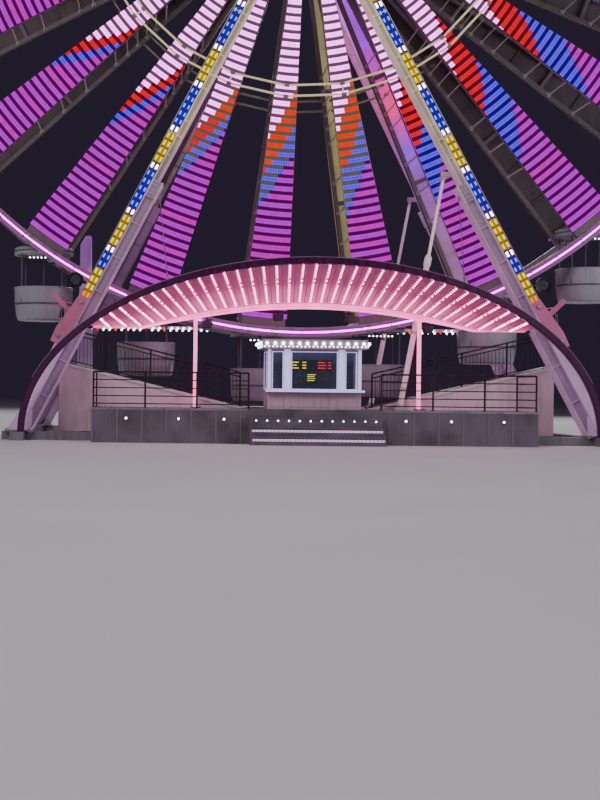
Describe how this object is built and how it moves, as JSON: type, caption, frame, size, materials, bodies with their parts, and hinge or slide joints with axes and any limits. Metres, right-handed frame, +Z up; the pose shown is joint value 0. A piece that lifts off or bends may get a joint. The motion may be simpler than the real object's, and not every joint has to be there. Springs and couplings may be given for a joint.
{
  "type": "ferris wheel",
  "caption": "Open-framed observation wheel on two A-frames, with hanging gondolas that stay level, a boarding deck, a swept canopy and a ticket kiosk.",
  "frame": {"origin": "on the ground under the hub, at the underside of the base frame's middle beam", "axes": "+Z up, +Y along the wheel's axis towards the back, +X to the right seen from the front"},
  "size_m": [30.477, 9.9603, 32.2776],
  "materials": {
    "painted_steel": "satin, lightly soiled",
    "dark_steel": "satin grey-olive",
    "rim_paint": "satin",
    "bright_steel": "brushed",
    "deck_plate": "chequered, scuffed",
    "ramp_panel": "matt",
    "black_rail": "semi-gloss",
    "canopy_panel": "matt",
    "cabin_shell": "gloss"
  },
  "bodies": {
    "base": {"front_left_leg": "painted_steel", "front_right_leg": "painted_steel", "rear_left_leg": "painted_steel", "rear_right_leg": "painted_steel", "canopy_beam": "painted_steel", "festoon_beam": "painted_steel", "service_mast": "painted_steel", "kiosk_body": "painted_steel", "kiosk_roof": "painted_steel", "base_frame": "dark_steel", "front_bearing": "dark_steel", "rear_bearing": "dark_steel", "front_strut": "bright_steel", "rear_strut": "bright_steel", "left_canopy_stay": "bright_steel", "right_canopy_stay": "bright_steel", "platform": "deck_plate", "front_steps": "deck_plate", "left_ramp": "ramp_panel", "right_ramp": "ramp_panel", "left_ramp_railing": "black_rail", "right_ramp_railing": "black_rail", "left_deck_railing": "black_rail", "right_deck_railing": "black_rail", "canopy_arch": "black_rail", "canopy_roof": "canopy_panel"},
    "wheel": {"hub": "dark_steel", "front_left_spokes": "dark_steel", "front_right_spokes": "dark_steel", "rear_left_spokes": "dark_steel", "rear_right_spokes": "dark_steel", "front_rim": "rim_paint", "rear_rim": "rim_paint", "front_inner_rings": "rim_paint", "rear_inner_rings": "rim_paint"},
    "door": {"kiosk_door": "painted_steel"},
    "gondola_01": {"gondola_01": "cabin_shell"},
    "gondola_02": {"gondola_02": "cabin_shell"},
    "gondola_03": {"gondola_03": "cabin_shell"},
    "gondola_04": {"gondola_04": "cabin_shell"},
    "gondola_05": {"gondola_05": "cabin_shell"},
    "gondola_06": {"gondola_06": "cabin_shell"},
    "gondola_07": {"gondola_07": "cabin_shell"},
    "gondola_08": {"gondola_08": "cabin_shell"},
    "gondola_09": {"gondola_09": "cabin_shell"},
    "gondola_10": {"gondola_10": "cabin_shell"},
    "gondola_11": {"gondola_11": "cabin_shell"},
    "gondola_12": {"gondola_12": "cabin_shell"},
    "gondola_13": {"gondola_13": "cabin_shell"},
    "gondola_14": {"gondola_14": "cabin_shell"},
    "gondola_15": {"gondola_15": "cabin_shell"},
    "gondola_16": {"gondola_16": "cabin_shell"},
    "gondola_17": {"gondola_17": "cabin_shell"},
    "gondola_18": {"gondola_18": "cabin_shell"},
    "gondola_19": {"gondola_19": "cabin_shell"},
    "gondola_20": {"gondola_20": "cabin_shell"},
    "gondola_21": {"gondola_21": "cabin_shell"},
    "gondola_22": {"gondola_22": "cabin_shell"},
    "gondola_23": {"gondola_23": "cabin_shell"},
    "gondola_24": {"gondola_24": "cabin_shell"}
  },
  "joints": [
    {"name": "wheel_spin", "type": "hinge", "parent": "base", "child": "wheel", "pos_m": [0, 0, 17.7], "axis": [0, 1, 0], "continuous": true},
    {"name": "kiosk_door_hinge", "type": "hinge", "parent": "base", "child": "door", "pos_m": [0.4, -3.2275, 1], "axis": [0, 0, -1], "range_deg": [0, 100]},
    {"name": "gondola_01_swing", "type": "hinge", "parent": "wheel", "child": "gondola_01", "pos_m": [2.51301, 0, 3.59207], "axis": [0, 1, 0], "continuous": true},
    {"name": "gondola_02_swing", "type": "hinge", "parent": "wheel", "child": "gondola_02", "pos_m": [6.07878, 0, 4.7232], "axis": [0, 1, 0], "continuous": true},
    {"name": "gondola_03_swing", "type": "hinge", "parent": "wheel", "child": "gondola_03", "pos_m": [9.23029, 0, 6.73868], "axis": [0, 1, 0], "continuous": true},
    {"name": "gondola_04_swing", "type": "hinge", "parent": "wheel", "child": "gondola_04", "pos_m": [11.75278, 0, 9.50115], "axis": [0, 1, 0], "continuous": true},
    {"name": "gondola_05_swing", "type": "hinge", "parent": "wheel", "child": "gondola_05", "pos_m": [13.47433, 0, 12.82236], "axis": [0, 1, 0], "continuous": true},
    {"name": "gondola_06_swing", "type": "hinge", "parent": "wheel", "child": "gondola_06", "pos_m": [14.27763, 0, 16.47597], "axis": [0, 1, 0], "continuous": true},
    {"name": "gondola_07_swing", "type": "hinge", "parent": "wheel", "child": "gondola_07", "pos_m": [14.10793, 0, 20.213], "axis": [0, 1, 0], "continuous": true},
    {"name": "gondola_08_swing", "type": "hinge", "parent": "wheel", "child": "gondola_08", "pos_m": [12.9768, 0, 23.77878], "axis": [0, 1, 0], "continuous": true},
    {"name": "gondola_09_swing", "type": "hinge", "parent": "wheel", "child": "gondola_09", "pos_m": [10.96132, 0, 26.93029], "axis": [0, 1, 0], "continuous": true},
    {"name": "gondola_10_swing", "type": "hinge", "parent": "wheel", "child": "gondola_10", "pos_m": [8.19885, 0, 29.45278], "axis": [0, 1, 0], "continuous": true},
    {"name": "gondola_11_swing", "type": "hinge", "parent": "wheel", "child": "gondola_11", "pos_m": [4.87764, 0, 31.17433], "axis": [0, 1, 0], "continuous": true},
    {"name": "gondola_12_swing", "type": "hinge", "parent": "wheel", "child": "gondola_12", "pos_m": [1.22402, 0, 31.97763], "axis": [0, 1, 0], "continuous": true},
    {"name": "gondola_13_swing", "type": "hinge", "parent": "wheel", "child": "gondola_13", "pos_m": [-2.51301, 0, 31.80793], "axis": [0, 1, 0], "continuous": true},
    {"name": "gondola_14_swing", "type": "hinge", "parent": "wheel", "child": "gondola_14", "pos_m": [-6.07878, 0, 30.6768], "axis": [0, 1, 0], "continuous": true},
    {"name": "gondola_15_swing", "type": "hinge", "parent": "wheel", "child": "gondola_15", "pos_m": [-9.23029, 0, 28.66132], "axis": [0, 1, 0], "continuous": true},
    {"name": "gondola_16_swing", "type": "hinge", "parent": "wheel", "child": "gondola_16", "pos_m": [-11.75278, 0, 25.89885], "axis": [0, 1, 0], "continuous": true},
    {"name": "gondola_17_swing", "type": "hinge", "parent": "wheel", "child": "gondola_17", "pos_m": [-13.47433, 0, 22.57764], "axis": [0, 1, 0], "continuous": true},
    {"name": "gondola_18_swing", "type": "hinge", "parent": "wheel", "child": "gondola_18", "pos_m": [-14.27763, 0, 18.92403], "axis": [0, 1, 0], "continuous": true},
    {"name": "gondola_19_swing", "type": "hinge", "parent": "wheel", "child": "gondola_19", "pos_m": [-14.10793, 0, 15.18699], "axis": [0, 1, 0], "continuous": true},
    {"name": "gondola_20_swing", "type": "hinge", "parent": "wheel", "child": "gondola_20", "pos_m": [-12.9768, 0, 11.62122], "axis": [0, 1, 0], "continuous": true},
    {"name": "gondola_21_swing", "type": "hinge", "parent": "wheel", "child": "gondola_21", "pos_m": [-10.96132, 0, 8.46971], "axis": [0, 1, 0], "continuous": true},
    {"name": "gondola_22_swing", "type": "hinge", "parent": "wheel", "child": "gondola_22", "pos_m": [-8.19885, 0, 5.94722], "axis": [0, 1, 0], "continuous": true},
    {"name": "gondola_23_swing", "type": "hinge", "parent": "wheel", "child": "gondola_23", "pos_m": [-4.87764, 0, 4.22567], "axis": [0, 1, 0], "continuous": true},
    {"name": "gondola_24_swing", "type": "hinge", "parent": "wheel", "child": "gondola_24", "pos_m": [-1.22402, 0, 3.42237], "axis": [0, 1, 0], "continuous": true}
  ],
  "couplings": [
    {"joint": "gondola_01_swing", "follows": "wheel_spin", "ratio": -1},
    {"joint": "gondola_02_swing", "follows": "wheel_spin", "ratio": -1},
    {"joint": "gondola_03_swing", "follows": "wheel_spin", "ratio": -1},
    {"joint": "gondola_04_swing", "follows": "wheel_spin", "ratio": -1},
    {"joint": "gondola_05_swing", "follows": "wheel_spin", "ratio": -1},
    {"joint": "gondola_06_swing", "follows": "wheel_spin", "ratio": -1},
    {"joint": "gondola_07_swing", "follows": "wheel_spin", "ratio": -1},
    {"joint": "gondola_08_swing", "follows": "wheel_spin", "ratio": -1},
    {"joint": "gondola_09_swing", "follows": "wheel_spin", "ratio": -1},
    {"joint": "gondola_10_swing", "follows": "wheel_spin", "ratio": -1},
    {"joint": "gondola_11_swing", "follows": "wheel_spin", "ratio": -1},
    {"joint": "gondola_12_swing", "follows": "wheel_spin", "ratio": -1},
    {"joint": "gondola_13_swing", "follows": "wheel_spin", "ratio": -1},
    {"joint": "gondola_14_swing", "follows": "wheel_spin", "ratio": -1},
    {"joint": "gondola_15_swing", "follows": "wheel_spin", "ratio": -1},
    {"joint": "gondola_16_swing", "follows": "wheel_spin", "ratio": -1},
    {"joint": "gondola_17_swing", "follows": "wheel_spin", "ratio": -1},
    {"joint": "gondola_18_swing", "follows": "wheel_spin", "ratio": -1},
    {"joint": "gondola_19_swing", "follows": "wheel_spin", "ratio": -1},
    {"joint": "gondola_20_swing", "follows": "wheel_spin", "ratio": -1},
    {"joint": "gondola_21_swing", "follows": "wheel_spin", "ratio": -1},
    {"joint": "gondola_22_swing", "follows": "wheel_spin", "ratio": -1},
    {"joint": "gondola_23_swing", "follows": "wheel_spin", "ratio": -1},
    {"joint": "gondola_24_swing", "follows": "wheel_spin", "ratio": -1}
  ]
}
